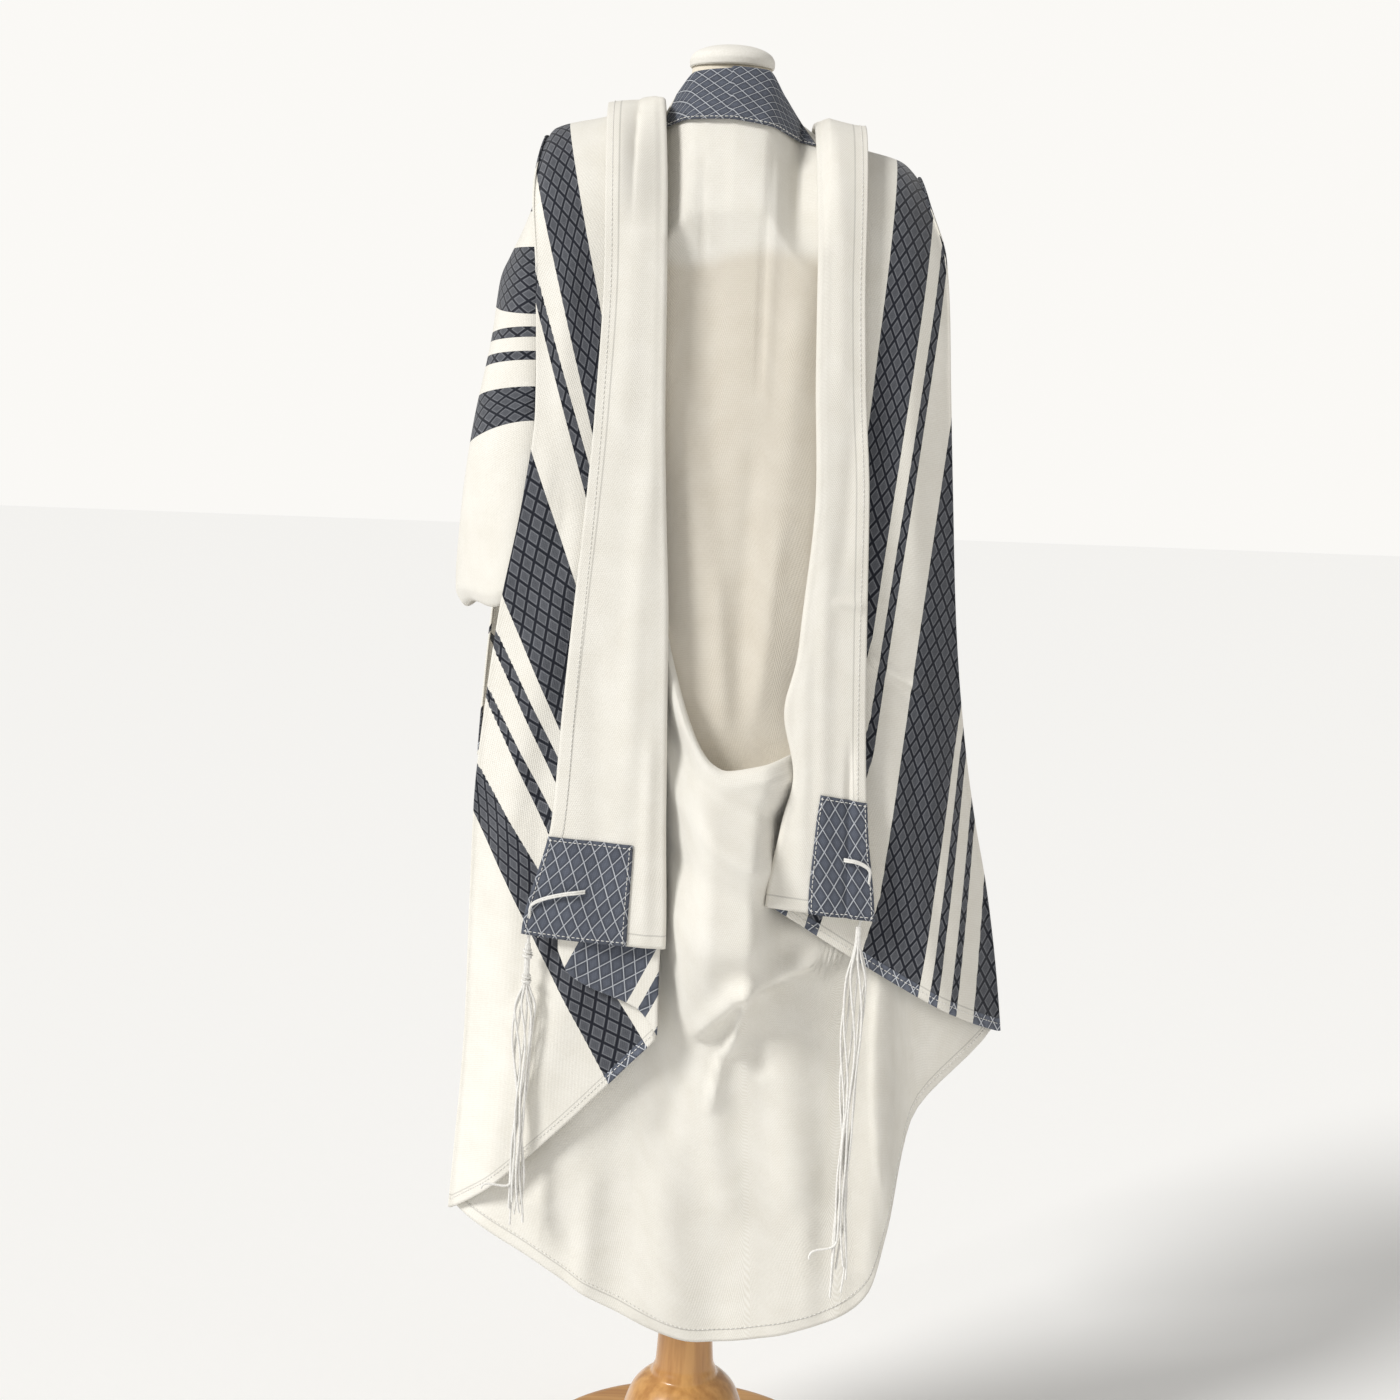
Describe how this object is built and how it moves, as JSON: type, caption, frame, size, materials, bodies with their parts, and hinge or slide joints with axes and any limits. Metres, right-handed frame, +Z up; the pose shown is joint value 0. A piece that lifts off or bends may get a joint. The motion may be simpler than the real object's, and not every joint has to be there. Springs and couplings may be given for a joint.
{
  "type": "tallit prayer shawl on a limbless dress form with a turned wooden stand",
  "caption": "Large striped prayer shawl folded up onto the shoulders of a limbless dress form on a turned wooden stand, seen and modelled from all sides.",
  "frame": {"origin": "centre of the round base's underside, on the floor", "axes": "+Z up, the wearer's back faces -Y, the wearer's right arm is on the +X side"},
  "size_m": [0.6238, 0.4048, 1.65],
  "materials": {
    "wool_cloth": "off-white wool twill",
    "striped_cloth": "off-white wool twill with charcoal woven diamond stripes",
    "diamond_cloth": "charcoal jacquard with thin white diamond lines",
    "fringe_cord": "twisted white wool cord",
    "form_cover": "cream jersey cover",
    "varnished_wood": "honey varnish"
  },
  "bodies": {
    "root": {"back_panel_upper": "wool_cloth", "back_panel_lower": "wool_cloth", "left_front_panel": "wool_cloth", "right_front_panel": "wool_cloth", "left_back_wing": "striped_cloth", "right_back_wing": "striped_cloth", "left_front_wing": "striped_cloth", "right_front_wing": "striped_cloth", "left_back_band": "wool_cloth", "right_back_band": "wool_cloth", "left_front_band": "wool_cloth", "right_front_band": "wool_cloth", "left_back_corner_patch": "diamond_cloth", "right_back_corner_patch": "diamond_cloth", "left_front_corner_patch": "diamond_cloth", "right_front_corner_patch": "diamond_cloth", "left_arm_loop": "striped_cloth", "right_arm_loop": "striped_cloth", "left_hem_fold": "diamond_cloth", "atara_neckband": "diamond_cloth", "left_back_tassel": "fringe_cord", "right_back_tassel": "fringe_cord", "left_front_tassel": "fringe_cord", "right_front_tassel": "fringe_cord", "dress_form_torso": "form_cover", "neck_cap": "form_cover", "stand_post": "varnished_wood", "stand_turning": "varnished_wood", "stand_base": "varnished_wood"}
  },
  "joints": []
}
